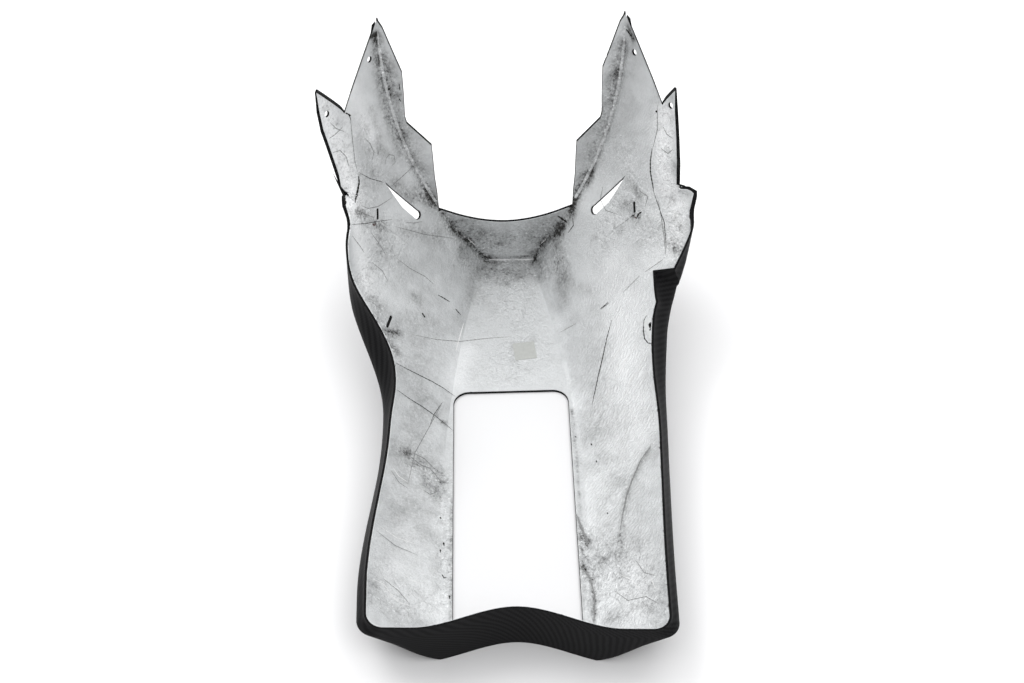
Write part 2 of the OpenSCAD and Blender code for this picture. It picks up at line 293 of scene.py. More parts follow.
def skinLayer(name, deep, deeper):  # a closed layer of the skin between two depths
    per, count = rows + 1, len(loop)
    half = count * per

    def at(k, j):
        return (k % count) * per + j

    points = []
    for depth in (deep, deeper):
        for k in range(count):
            for j in range(per):
                p = outer[k][j] + inward[k][j] * depth
                points.append(Vector((p.x, p.y, depth if j == 0 else p.z)))
    hub = Vector((0, grid["hubY"], 0))
    rings = {}
    for side, depth in ((0, deep), (half, deeper)):  # the floor runs in from its edge to a hub in rings
        rings[side] = [[side + at(k, 0) for k in range(count)]]
        for i in range(1, grid["rings"]):
            rings[side].append([len(points) + k for k in range(count)])
            inner = [points[v].lerp(hub, (i / grid["rings"]) ** 1.6) for v in rings[side][0]]
            points += [Vector((p.x, p.y, depth)) for p in inner]
        points.append(Vector((hub.x, hub.y, depth)))
        rings[side].append([len(points) - 1] * count)
    faces, places = [], []
    for k in range(count):
        for j in range(rows):
            corners = [(k, j), (k + 1, j), (k + 1, j + 1), (k, j + 1)]
            quad = [at(*corner) for corner in corners]
            place = [(aroundRun[a], upRun[a % count][b]) for a, b in corners]
            faces += [quad[::-1], [half + q for q in quad]]
            places += [place[::-1], place]
        top = [at(k, rows), half + at(k, rows), half + at(k + 1, rows), at(k + 1, rows)]
        faces.append(top)
        places.append([(0, 0)] * 4)
        for side in (0, half):
            for a, b in zip(rings[side], rings[side][1:]):
                patch = [a[k], a[(k + 1) % count], b[(k + 1) % count], b[k]]
                patch = list(dict.fromkeys(patch))[::1 if side == 0 else -1]
                faces.append(patch)
                places.append([(points[i].x, points[i].y) for i in patch])
    piece = newObject(name, points, faces)
    layer = piece.data.uv_layers.new(name="weave")
    for face, place in zip(piece.data.polygons, places):
        for corner, (u, v) in zip(face.loop_indices, place):
            layer.data[corner].uv = (u / 1000, v / 1000)  # metres along the skin
    return piece


# Trims and cut-outs


def signedArea(outline):  # twice the area, and below zero where the outline runs clockwise
    return sum(a[0] * b[1] - b[0] * a[1] for a, b in zip(outline, outline[1:] + outline[:1]))


def ringFaces(n, start=0):  # the quads between one ring of n points and the next
    return [[start + i, start + (i + 1) % n, start + n + (i + 1) % n, start + n + i] for i in range(n)]


def prism(outline, depth, placed=Matrix()):  # an outline in x and y, pushed up along z and then placed
    n = len(outline)
    points = [placed @ Vector((x, y, z)) for z in (0, depth) for x, y in outline]
    faces = [list(range(n))[::-1], [n + i for i in range(n)]] + ringFaces(n)
    if (signedArea(outline) < 0) != (placed.determinant() < 0):
        faces = [f[::-1] for f in faces]
    return newObject("cutter", points, faces)


def arc(x, y, r, start, end, n=12):
    turns = [math.radians(mix(start, end, i / n)) for i in range(n + 1)]
    return [(x + r * math.cos(t), y + r * math.sin(t)) for t in turns]


def circle(x, y, r):
    return arc(x, y, r, 0, 345, 23)


def combine(piece, cutter, operation):
    modifier = piece.modifiers.new("cut", "BOOLEAN")
    modifier.operation = operation
    modifier.object = cutter
    modifier.solver = "MANIFOLD"
    graph = bpy.context.evaluated_depsgraph_get()
    mesh = bpy.data.meshes.new_from_object(piece.evaluated_get(graph))
    piece.modifiers.clear()
    piece.data = mesh
    bpy.data.objects.remove(cutter)


def lipZ(x):
    return mix(pan["lipMidH"], pan["lipH"] - 4, clip(x / pan["lipW"]) ** 1.9)


# How far the trimming bodies reach past the skin, and how far short of some edges the foil stops
trim = dict(ahead=260, aside=240, under=-10, overlap=4.1, foot=162,
            leftTongue=2.2, rightTongue=2.8, tongueFoot=3, flareRim=5)


def halfOutline(s, back):  # front view of the lip, a wing and its tongue
    lw, tw, wh = pan["lipW"], pan["wingTip"], pan["wingH"]
    tx, tz = (pan["leftReach"], pan["leftTongue"]) if s < 0 else (pan["rightReach"], pan["rightTongue"])
    lip = [(x, lipZ(x)) for x in [(lw - 2) * i / 16 for i in range(17)]]
    flange = [(lw - 1, 104), (lw + 1, 122.2), (lw + 2, 142.3), (lw + 3, 159), (lw + 28, 184),
              (lw + 29.5, 190), (lw + 29.7, 214.1), (lw + 30.5, 238.2),
              (tw - 15, wh - 33), (tw - 6.5, wh - 10)]
    splitTip = [(tw - 3, wh - 4), (tw - 2, wh), (tw - 0.6, wh - 1), (tw - 0.6, wh - 9), (tw + 0.6, wh - 9),
                (tw + 0.6, wh - 4), (tw + 4, wh - 5)]  # the laminate is split there, and the foil isn't
    tip = [(tw - 1, wh - 1)] if back else splitTip
    wing = [(tw + 5.5, wh - 12), (155.5, 247), (162.5, 231.5)]
    short = trim["leftTongue" if s < 0 else "rightTongue"] if back else 0
    tongue = [] if back else [(tx - 2, tz - 1.5)]
    tongue += [(tx - 0.4 * short, tz), (tx - (0.5 if s < 0 else -1.5) - short, tz - 20)]
    if s < 0:
        foot = [(185.7 - short, tz - 40), (177.8 - short, 202), (173 - short, 183.3), (167.5, trim["foot"])]
    else:
        foot = [(178.7 - short, 212.2), (179.7 - short, trim["foot"])]
    below = [(trim["aside"], trim["foot"]), (trim["aside"], trim["under"])]
    return [(s * x, z) for x, z in lip + flange + tip + wing + tongue + foot + below]


def moveIn(outline, back):  # every edge of an outline moves in by the same distance
    made, n = [], len(outline)
    turn = math.copysign(1, signedArea(outline))
    for i in range(n):
        a, b, c = (Vector(outline[(i + d) % n]) for d in (-1, 0, 1))
        before, after = (unit(v).orthogonal() * turn for v in (b - a, c - b))
        made.append(tuple(b + (before + after) * back / max(1 + before.dot(after), 0.08)))
    return made


def frontKeep(back):
    left, right = halfOutline(-1, back), halfOutline(1, back)
    upright = Matrix.Translation((0, trim["ahead"], 0)) @ Matrix.Rotation(math.radians(90), 4, "X")
    end = pan["flareY"] + trim["overlap"] + (trim["tongueFoot"] if back else 0)
    return prism(moveIn(left[:0:-1] + right, back), trim["ahead"] - end, upright)


def sideKeep(s, back):  # side view under the rim, from the rear to the foot of the tongue
    short = trim["flareRim"] if back and s > 0 else 0
    start, under = pan["rearY"] - 40, trim["under"]
    end = pan["flareY"] + 4.2 + (back + 4 if back else 0)

    def topZ(y):
        climb = rimZ(max(y, pan["rearY"])) + 12 * ease((y - 40) / 25)
        return climb - short * ease((y + 15) / 20) * ease((62 - y) / 30)

    rim = [(y, topZ(y)) for y in between([start, pan["rearY"], climbY, end], 9)]
    outline = [(start, under)] + rim + [(end, 60), (trim["ahead"], 60), (trim["ahead"], under)]
    side = Matrix(((0, 0, s, 0), (1, 0, 0, 0), (0, 1, 0, 0), (0, 0, 0, 1)))
    return prism(moveIn(outline, back), trim["aside"], side)


def onSkin(y, z, s):  # a place on the skin: x runs forward, y up and z outward
    along = unit(Vector((s * (halfW(y + 2, z, s) - halfW(y - 2, z, s)) / 4, 1, 0)))
    up = Vector((s * (halfW(y, z + 2, s) - halfW(y, z - 2, s)) / 4, 0, 1))
    out = unit(along.cross(up)) * s
    across = out.cross(along) * s
    place = Matrix((along, across, out)).transposed().to_4x4()
    place.translation = Vector((s * halfW(y, z, s), y, z))
    return place


def oblong(length, width):
    d = (length - width) / 2
    return arc(d, 0, width / 2, -90, 90) + arc(-d, 0, width / 2, 90, 270)


# Places on the skin as y and z
flankSlot = (71.3, 127.6)
sideSlots = {-1: (-18, shoulderZ(-18) - 30), 1: (-46, shoulderZ(-46) - 10)}
wingHole = (162.91, 262)
tongueHoles = {-1: (104.2, 243.3), 1: (111.47, 235.4)}
holeAxis = (0.746, 0.6245, -0.232)
ventAt = (95, 118)
ventEdge = [(-6.5, 32.2), (-4.6, 15), (-2.2, -4), (4.6, -23.2), (9.2, -22.3), (13.7, -21)]
ventEnd = (9.2, -22.3)


def holeCutters(grow):
    r = pan["cutR"] + grow
    front, rear = pan["cutFront"] + grow - r, pan["cutRear"] + grow - r
    top, bottom = pan["cutFrontY"] + grow - r, pan["cutRearY"] - grow + r
    outline = (arc(front, top, r, 0, 90) + arc(-front, top, r, 90, 180)
               + arc(-rear, bottom, r, 180, 270) + arc(rear, bottom, r, 270, 360))
    yield prism(outline, 20, Matrix.Translation((0, 0, -5)))
    deep = 24
    down = Matrix.Translation((0, 0, -deep / 2))
    for s in (-1, 1):
        vent = onSkin(*ventAt, s) @ down
        yield prism(moveIn(ventEdge, -0.5 * grow), deep, vent)
        yield prism(circle(*ventEnd, pan["ventR"] + grow), deep, vent)
        out = unit(Vector((s * holeAxis[0], *holeAxis[1:])))
        for y, z in (wingHole, tongueHoles[s]):
            place = out.to_track_quat("Z", "Y").to_matrix().to_4x4()
            place.translation = Vector((s * halfW(y, z, s), y, z)) - out * deep / 2
            yield prism(circle(0, 0, (pan["hole"] + grow) / 2), deep, place)
        turned = Matrix.Rotation(math.radians(pan["slotTurn"]), 4, "Z")
        yield prism(oblong(pan["slotL"], pan["slotW"]), deep, onSkin(*flankSlot, s) @ turned @ down)
        wide = pan["sideSlotW"] * (0.66 if grow else 1)  # the foil closes in over the side slots
        yield prism(oblong(pan["sideSlotL"], wide), deep, onSkin(*sideSlots[s], s) @ down)


def trimmedSkin(name, deep, deeper, grow):
    piece = skinLayer(name, deep, deeper)
    keep = frontKeep(grow)
    for s in (-1, 1):
        combine(keep, sideKeep(s, grow), "UNION")
    combine(piece, keep, "INTERSECT")
    for cutter in holeCutters(grow):
        combine(piece, cutter, "DIFFERENCE")
    piece.data.shade_smooth()
    piece.data.set_sharp_from_angle(angle=math.radians(32))
    return piece


# The camera stands where the photograph's did, worked out from the pan's corners
view = dict(turn=0.38, roll=-1.24, down=50, across=-2.9, distance=2553,  # degrees, mm
            focal=2400, width=1024, middle=(512, 341))  # pixels


def makeCamera():
    turn, down, roll = (math.radians(view[k]) for k in ("turn", "down", "roll"))
    right = Vector((math.cos(turn), -math.sin(turn), 0))
    ahead = Vector((math.sin(turn), math.cos(turn), 0))
    forward = ahead * math.cos(down) - Vector((0, 0, math.sin(down)))
    up = ahead * math.sin(down) + Vector((0, 0, math.cos(down)))
    place = (-right * view["across"] - forward * view["distance"]) / 1000
    data = bpy.data.cameras.new("camera")
    data.sensor_width = 36
    data.lens = view["focal"] / view["width"] * 36
    camera = bpy.data.objects.new("camera", data)
    bpy.context.scene.collection.objects.link(camera)
    x = right * math.cos(roll) + up * math.sin(roll)
    y = up * math.cos(roll) - right * math.sin(roll)
    camera.matrix_world = Matrix((x, y, -forward)).transposed().to_4x4()
    camera.location = place
    bpy.context.scene.camera = camera
    return place, x, y, forward


eye, eyeRight, eyeUp, eyeForward = makeCamera()


def photoRay(px, py):  # the line of sight through a pixel of the photograph
    x, y = px - view["middle"][0], py - view["middle"][1]
    return unit(eyeForward * view["focal"] + eyeRight * x - eyeUp * y)


print("camera ready")

# Materials


# A colour Mix takes its colours at 6 and 7 and gives the result at 2


def twillLaminate(name):
    # black 2 x 2 twill under a thin resin skin: nearly black, with faint diagonal ribs
    look = dict(tow=2.2, light="#1d1d1e", dark="#121213", shine=0.05, rough=0.4)  # tow in mm
    material, tree, _ = newMaterial(name)
    uv = addNode(tree, "UVMap", uv_map="weave")
    cells = addNode(tree, "VectorMath", {0: uv, 1: (1000 / look["tow"],) * 3}, operation="MULTIPLY")
    parts = addNode(tree, "SeparateXYZ", {0: cells})
    whole = [addNode(tree, "Math", {0: parts.outputs[i]}, operation="FLOOR") for i in (0, 1)]
    step = addNode(tree, "Math", {0: whole[0], 1: whole[1]}, operation="ADD")
    cycle = addNode(tree, "Math", {0: step, 1: 4.0}, operation="FLOORED_MODULO")
    over = addNode(tree, "Math", {0: cycle, 1: 1.5}, operation="GREATER_THAN")
    waves = []
    for i in (0, 1):
        turn = addNode(tree, "Math", {0: parts.outputs[i], 1: math.pi}, operation="MULTIPLY")
        wave = addNode(tree, "Math", {0: turn}, operation="SINE")
        waves.append(addNode(tree, "Math", {0: wave}, operation="ABSOLUTE"))
    height = addNode(tree, "Mix", {0: over, 2: waves[0], 3: waves[1]})
    colour = addNode(tree, "Mix", {0: over, 6: srgb(look["dark"]), 7: srgb(look["light"])},
                     data_type="RGBA")
    bump = addNode(tree, "Bump", {"Strength": 0.2, "Distance": 0.0002, "Height": height})
    shader = addNode(tree, "BsdfPrincipled", {
        "Base Color": colour.outputs[2], "Roughness": look["rough"], "Normal": bump,
        "Specular IOR Level": look["shine"]})
    addNode(tree, "OutputMaterial", {0: shader})
    return material


def heatFoil(name):
    # aluminised foil pressed over felt: soft silver sheen, crackled folds, flecks and ingrained soot, with
    # painted shade in creases and on the flanks, painted highlights, and painted shade on faces that look
    # straight up
    look = dict(clean="#d6d8d9", worn="#bfc1c2", floor="#c6c8c9", sootAndShade="#2a2927", highlightTone="#fafbfc",
                cloud=55, patch=16, fleck=2.6, crackle=7, fold=13, hatch=3.0,  # mm
                ragged=0.016, metal=0.5, rough=0.44, relief=0.7, depth=0.0007)  # lengths in m
    scales = {k: 1000 / look[k] for k in ("cloud", "patch", "fleck", "crackle", "fold")}
    material, tree, place = newMaterial(name)
    soilAndShade, highlight, wear = (addNode(tree, "Attribute", attribute_name=k).outputs["Fac"]
                          for k in ("soilAndShade", "highlight", "wear"))
    cloud, fleck, patch = (
        addNode(tree, "TexNoise", {"Vector": place, "Scale": scales[k], "Detail": fine, "Roughness": harsh})
        for k, fine, harsh in (("cloud", 6.0, 0.6), ("fleck", 5.0, 0.75), ("patch", 8.0, 0.7)))
    bend = addNode(tree, "VectorMath", {0: patch.outputs["Color"], 1: (look["ragged"],) * 3, 2: place},
                   operation="MULTIPLY_ADD")
    crackle, fold = (
        addNode(tree, "TexVoronoi", {"Vector": bend, "Scale": scales[k]},
                feature="DISTANCE_TO_EDGE").outputs["Distance"]
        for k in ("crackle", "fold"))
    # where the foil is handled most it has crackled and taken up flecks
    handled = addNode(tree, "MapRange", {"Value": cloud, "From Min": 0.42, "From Max": 0.62})
    used = addNode(tree, "Math", {0: handled, 1: 0.22, 2: wear}, operation="MULTIPLY_ADD")
    thin = addNode(tree, "MapRange", {"Value": crackle, "From Min": 0.01, "From Max": 0.09,
                                      "To Min": 1.0, "To Max": 0.0})
    broken = addNode(tree, "MapRange", {"Value": fleck, "From Min": 0.42, "From Max": 0.6})
    lines = addNode(tree, "Math", {0: thin, 1: broken}, operation="MULTIPLY")
    specks = addNode(tree, "MapRange", {"Value": fleck, "From Min": 0.56, "From Max": 0.72})
    blots = addNode(tree, "MapRange", {"Value": patch, "From Min": 0.52, "From Max": 0.68, "To Max": 0.7})
    flecked = addNode(tree, "Math", {0: specks, 1: 0.8, 2: blots}, operation="MULTIPLY_ADD")
    both = addNode(tree, "Math", {0: lines, 1: 0.5, 2: flecked}, operation="MULTIPLY_ADD")
    marks = addNode(tree, "Math", {0: both, 1: used}, operation="MULTIPLY")
    ragged = addNode(tree, "Math", {0: patch, 1: fleck}, operation="ADD")
    bite = addNode(tree, "MapRange", {"Value": ragged, "From Min": 0.78, "From Max": 1.18,
                                      "To Min": 0.2, "To Max": 1.7})
    # soot and painted shade from the marks on the foil, made ragged
    sootyAndShaded = addNode(tree, "Math", {0: soilAndShade, 1: bite}, operation="MULTIPLY")
    dark = addNode(tree, "Math", {0: marks, 1: 0.62, 2: sootyAndShaded}, operation="MULTIPLY_ADD", use_clamp=True)
    # bright flecks where the foil stands proud, and painted highlights
    proud = addNode(tree, "MapRange", {"Value": fleck, "From Min": 0.43, "From Max": 0.33})
    sparkle = addNode(tree, "Math", {0: proud, 1: used}, operation="MULTIPLY")
    lift = addNode(tree, "Math", {0: sparkle, 1: highlight}, operation="ADD", use_clamp=True)
    # the tone goes from clean to worn, darker on the level floor as painted shade, then bright flecks and
    # painted highlights, then soot and painted shade
    # level faces take the darker floor tone below: painted shade that evens out the light they catch from
    # overhead
    level = addNode(tree, "SeparateXYZ", {0: addNode(tree, "NewGeometry").outputs["Normal"]})
    flat = addNode(tree, "MapRange", {"Value": level.outputs["Z"], "From Min": 0.95, "From Max": 0.995})
    tone = srgb(look["clean"])
    for share, colour in ((handled, "worn"), (flat, "floor"), (lift, "highlightTone"), (dark, "sootAndShade")):
        tone = addNode(tree, "Mix", {0: share, 6: tone, 7: srgb(look[colour])}, data_type="RGBA").outputs[2]
    # relief: fine wrinkles, sharper folds where worn, and a slanted rubbed hatch on the right
    ridge = addNode(tree, "MapRange", {"Value": fold, "From Min": 0.0, "From Max": 0.12})
    turned = addNode(tree, "Mapping", {"Vector": bend, "Rotation": (0, 0, math.radians(35))})
    hatch = addNode(tree, "TexWave", {"Vector": turned, "Scale": 314 / look["hatch"], "Distortion": 1.2,
                                      "Detail": 2.0}, bands_direction="X")
    across = addNode(tree, "SeparateXYZ", {0: place}).outputs["X"]
    right = addNode(tree, "MapRange", {"Value": across, "From Min": 0.03, "From Max": 0.12, "To Max": 0.7})
    hatched = addNode(tree, "Math", {0: hatch.outputs["Fac"], 1: right}, operation="MULTIPLY")
    worked = addNode(tree, "Math", {0: used, 1: ridge, 2: hatched}, operation="MULTIPLY_ADD")
    fine = addNode(tree, "Math", {0: fleck, 1: 1.1, 2: worked}, operation="MULTIPLY_ADD")
    high = addNode(tree, "Math", {0: patch, 1: 2.2, 2: fine}, operation="MULTIPLY_ADD")
    bump = addNode(tree, "Bump", {"Strength": look["relief"], "Distance": look["depth"], "Height": high})
    shader = addNode(tree, "BsdfPrincipled", {
        "Base Color": tone, "Metallic": look["metal"], "Roughness": look["rough"], "Normal": bump})
    addNode(tree, "OutputMaterial", {0: shader})
    return material


def plainFinish(name, colour, roughness, grain):
    # a small moulded or pressed bit: one colour broken up by fine grain (mm)
    material, tree, place = newMaterial(name)
    speck = addNode(tree, "TexNoise", {"Vector": place, "Scale": 1000 / grain, "Detail": 4.0})
    darker = tuple(0.55 * c for c in srgb(colour)[:3]) + (1,)
    tone = addNode(tree, "Mix", {0: speck, 6: srgb(colour), 7: darker}, data_type="RGBA")
    shader = addNode(tree, "BsdfPrincipled", {
        "Base Color": tone.outputs[2], "Roughness": roughness, "Specular IOR Level": 0.2})
    addNode(tree, "OutputMaterial", {0: shader})
    return material


def filmLabel(name):
    # blank silvery polyester film: smooth, a little glossier than the foil
    look = dict(light="#babcb9", dark="#a2a4a1", haze=300.0, metal=0.2, rough=0.35)  # haze per m
    material, tree, place = newMaterial(name)
    haze = addNode(tree, "TexNoise", {"Vector": place, "Scale": look["haze"], "Detail": 4.0})
    colour = addNode(tree, "Mix", {0: haze, 6: srgb(look["light"]), 7: srgb(look["dark"])},
                     data_type="RGBA")
    shader = addNode(tree, "BsdfPrincipled", {
        "Base Color": colour.outputs[2], "Metallic": look["metal"], "Roughness": look["rough"]})
    addNode(tree, "OutputMaterial", {0: shader})
    return material


def plateAluminium(name):
    # pressed aluminium plate: brushed satin with a few specks
    look = dict(colour="#cfd1d1", brush=900.0, metal=0.5, smooth=0.3, rough=0.5)  # brush per m
    material, tree, place = newMaterial(name)
    brush = addNode(tree, "TexNoise", {"Vector": place, "Scale": look["brush"], "Detail": 3.0})
    rough = addNode(tree, "MapRange", {"Value": brush, "To Min": look["smooth"], "To Max": look["rough"]})
    shader = addNode(tree, "BsdfPrincipled", {
        "Base Color": srgb(look["colour"]), "Metallic": look["metal"], "Roughness": rough})
    addNode(tree, "OutputMaterial", {0: shader})
    return material


# Pieces
laminate = twillLaminate("twillLaminate")
foil = heatFoil("aluminisedHeatFoil")

shell = trimmedSkin("twillShell", 0, pan["wall"], 0)
dress(shell, laminate)
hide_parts("shell")
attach(shell, "root")
print("shell made", len(shell.data.polygons))

lining = trimmedSkin("foilLining", pan["wall"], pan["wall"] + pan["foil"], pan["foilEdge"])
dress(lining, foil)
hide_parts("lining")
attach(lining, "root")
print("lining made", len(lining.data.polygons))


# Marks on the foil, each placed by pixels of the photograph
graph = bpy.context.evaluated_depsgraph_get()
foilTree = BVHTree.FromObject(lining, graph)
plateTree = BVHTree.FromObject(nodes["eyelet_plate"], graph)


def onPiece(tree, px, py):  # the place that a pixel shows and its normal towards the eye, or nothing
    ray = photoRay(px, py)
    spot, normal, _, _ = tree.ray_cast(eye, ray)
    return (spot, -normal if normal.dot(ray) > 0 else normal) if spot else None


def onFoil(px, py):
    return onPiece(foilTree, px, py)


def tracePath(path, step):  # even steps along a path in pixels
    made = []
    for (ax, ay), (bx, by) in zip(path, path[1:]):
        n = max(1, math.ceil(math.hypot(bx - ax, by - ay) / step))
        made += [(mix(ax, bx, i / n), mix(ay, by, i / n)) for i in range(n)]
    return made + [path[-1]]


smudgesAndShade = [  # soot smudges and painted shade in creases, on the front wall and on the flanks: reach in mm, darkness, path in pixels
    # left wing
    (4.2, 1.0, [(372, 35), (375, 35), (376, 40)]),
    (5.0, 0.5, [(376, 42), (381, 70), (388, 95)]),
    (4.0, 0.42, [(388, 95), (397, 128), (409, 158), (424, 186)]),
    (4.0, 0.3, [(383, 50), (392, 88), (399, 120), (409, 147), (424, 170)]),
    (7.0, 0.34, [(374, 50), (380, 85), (389, 120), (399, 150)]),
    (8.0, 0.16, [(392, 60), (404, 110), (420, 150)]),
    (8.0, 0.45, [(395, 185), (408, 195), (425, 196), (432, 205)]),
    (4.5, 0.95, [(427, 190), (434, 202), (440, 209)]),
    (6.0, 0.5, [(440, 208), (452, 228), (468, 240), (486, 258)]),
    (2.2, 0.85, [(450, 226), (457, 232), (461, 234)]),
    (2.2, 0.8, [(470, 243), (478, 250), (486, 258)]),
    # right wing
    (4.0, 0.8, [(628, 27), (633, 38)]),
    (5.0, 0.48, [(624, 40), (619, 68), (611, 100)]),
    (4.0, 0.42, [(626, 50), (619, 80), (611, 115), (600, 150), (588, 182)]),
    (4.0, 0.3, [(613, 60), (605, 95), (598, 128), (588, 158)]),
    (7.0, 0.62, [(588, 172), (580, 186), (572, 208)]),
    (3.6, 0.95, [(578, 192), (573, 203), (570, 211)]),
    (6.0, 0.6, [(571, 214), (557, 231), (545, 241), (535, 257)]),
    (2.0, 0.9, [(560, 228), (555, 232)]),
    (2.0, 0.8, [(545, 240), (539, 248), (535, 257)]),
    # front wall: painted shade over the wall, along its creases and on the floor at its foot
    (18.0, 0.2, [(452, 222), (490, 238), (520, 240), (556, 224)]),
    (2.0, 0.55, [(486, 256), (512, 256), (536, 256)]),
    (2.0, 0.5, [(486, 262), (512, 262), (536, 262)]),
    (14.0, 0.2, [(484, 270), (505, 275), (535, 269)]),
    (10.0, 0.22, [(462, 250), (474, 275), (470, 300)]),
    (9.0, 0.2, [(555, 255), (560, 280), (566, 300)]),
    # left wing, flank and side
    (5.0, 0.24, [(386, 118), (394, 126)]),
    (5.0, 0.3, [(385, 152), (394, 160)]),
    (6.0, 0.24, [(372, 110), (378, 128), (380, 150)]),
    (1.8, 0.85, [(373, 222), (375, 226)]),
    (6.0, 0.4, [(362, 214), (370, 222), (384, 225)]),
    (10.0, 0.28, [(405, 228), (420, 233), (436, 236)]),
    (5.0, 0.42, [(370, 298), (381, 304)]),
    (4.0, 0.65, [(384, 331), (398, 333)]),
    (5.0, 0.38, [(388, 340), (398, 352)]),
    (6.0, 0.3, [(412, 296), (420, 302)]),
    (1.8, 0.75, [(436, 416), (447, 425)]),
    (7.0, 0.3, [(405, 452), (425, 468), (442, 480)]),
    (6.0, 0.3, [(428, 485), (434, 496)]),
    # right flank and flare
    (2.6, 0.42, [(650, 447), (638, 468), (628, 488), (622, 522), (620, 557)]),
    (1.8, 0.7, [(577, 516), (588, 545)]),
    (2.2, 0.7, [(581, 565), (592, 580), (595, 600), (594, 620)]),
    (4.5, 0.4, [(644, 603), (652, 607)]),
    (5.0, 0.36, [(608, 620), (618, 616)]),
    (1.8, 0.75, [(634, 214), (640, 216)]),
    (5.0, 0.42, [(673, 242), (678, 250)]),
    (7.0, 0.2, [(560, 262), (572, 285), (590, 292)]),
    (5.0, 0.3, [(629, 180), (640, 196), (622, 205)]),
    # broad shade on the flanks, and the edges of the cut-out
    (34.0, 0.2, [(425, 330), (420, 400), (412, 470), (410, 540)]),
    (32.0, 0.16, [(600, 420), (610, 480), (618, 540)]),
    (16.0, 0.14, [(600, 330), (596, 380), (598, 420)]),
    (2.0, 0.5, [(452, 500), (451, 560), (450, 615)]),
    (1.6, 0.5, [(572, 410), (577, 470), (581, 530), (584, 600)]),
]
paintedHighlights = [  # painted highlights, with the same columns, for foil that catches the light
    # left tongue, wing and side
    (16.0, 0.9, [(322, 105), (333, 140), (345, 175), (350, 205)]),
    (14.0, 0.5, [(352, 90), (362, 115), (372, 130)]),
    (10.0, 0.55, [(352, 215), (360, 250), (366, 285)]),
    # right tongue and flare
    (14.0, 0.95, [(667, 115), (666, 150), (666, 185)]),
    (12.0, 0.6, [(678, 205), (680, 225), (674, 250)]),
    # flanks and floor
    (20.0, 0.2, [(390, 570), (400, 595), (430, 605)]),
    (30.0, 0.4, [(615, 270), (628, 350), (640, 430)]),
    (24.0, 0.3, [(640, 560), (635, 600)]),
    (12.0, 0.3, [(465, 350), (455, 385)]),
]
worn = [  # and for foil that has crackled
    # left tongue, wing and flank
    (14.0, 0.8, [(326, 105), (338, 140), (350, 180), (360, 215)]),
    (11.0, 0.6, [(380, 60), (392, 110), (408, 155), (425, 190)]),
    (13.0, 0.6, [(362, 125), (372, 150), (378, 175)]),
    (20.0, 0.85, [(356, 205), (372, 225), (395, 240), (375, 265)]),
    (14.0, 0.75, [(362, 280), (372, 305), (388, 335), (395, 355)]),
    # front wall
    (24.0, 0.8, [(452, 225), (490, 240), (520, 240), (556, 228)]),
    (24.0, 0.7, [(470, 255), (500, 275), (535, 270), (560, 260)]),
    # right wing, tongue and flare
    (11.0, 0.6, [(622, 50), (612, 100), (596, 150), (578, 195)]),
    (16.0, 0.6, [(625, 150), (640, 185), (610, 205)]),
    (14.0, 0.85, [(668, 110), (664, 180), (678, 220), (678, 250)]),
    (20.0, 0.7, [(600, 235), (633, 215), (655, 235)]),
    # rear corners, left flank and floor
    (30.0, 0.85, [(600, 560), (635, 590), (660, 610)]),
    (9.0, 0.95, [(581, 530), (590, 570), (594, 610)]),
    (26.0, 0.6, [(375, 590), (405, 605), (440, 600)]),
    (9.0, 0.6, [(440, 470), (445, 520), (445, 580)]),
    (14.0, 0.45, [(405, 450), (435, 480)]),
    (26.0, 0.4, [(500, 300), (530, 330), (500, 370)]),
]


def fieldOf(piece, spots):  # how strongly each point of a piece lies under a list of soft marks
    flat = numpy.empty(3 * len(piece.data.vertices))
    piece.data.vertices.foreach_get("co", flat)
    points = flat.reshape(-1, 3) * 1000
    left = numpy.ones(len(points))
    for reach, strength, path in spots:
        hits = [h[0] * 1000 for h in (onFoil(*p) for p in tracePath(path, 3)) if h]
        if not hits:
            continue
        away = numpy.min([numpy.linalg.norm(points - numpy.array(h), axis=1) for h in hits], axis=0)
        left *= 1 - strength * numpy.exp(-(away / reach) ** 2)
    return 1 - left


# the fields: soot with painted shade, painted highlights, and crackled wear
for fieldName, spots in (("soilAndShade", smudgesAndShade), ("highlight", paintedHighlights), ("wear", worn)):
    layer = lining.data.attributes.new(fieldName, "FLOAT", "POINT")
    layer.data.foreach_set("value", fieldOf(lining, spots))
print("foil marked")


def strokes(name, paths, material, tree=foilTree):
    # thin ribbons that lie on a piece: each has its half width in mm and its path in pixels
    ribbon = dict(lift=0.15, step=1.5, share=0.8)
    points, faces = [], []
    for width, path in paths:
        spots = [h for h in (onPiece(tree, *p) for p in tracePath(path, ribbon["step"])) if h]
        start = len(points)
        for i, (spot, normal) in enumerate(spots):
            ahead = spots[min(i + 1, len(spots) - 1)][0] - spots[max(i - 1, 0)][0]
            wobble = 0.75 + 0.25 * math.sin(2.3 * i)
            taper = math.sin(math.pi * (i + 0.5) / len(spots)) ** 0.5
            side = unit(normal.cross(ahead)) * width * ribbon["share"] * taper * wobble
            centre = spot * 1000 + unit(normal) * ribbon["lift"]
            points += [centre - side, centre + side]
        faces += [[start + 2 * i, start + 2 * i + 1, start + 2 * i + 3, start + 2 * i + 2]
                  for i in range(len(spots) - 1)]
    piece = newObject(name, points, faces, material, 180)
    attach(piece, "root")


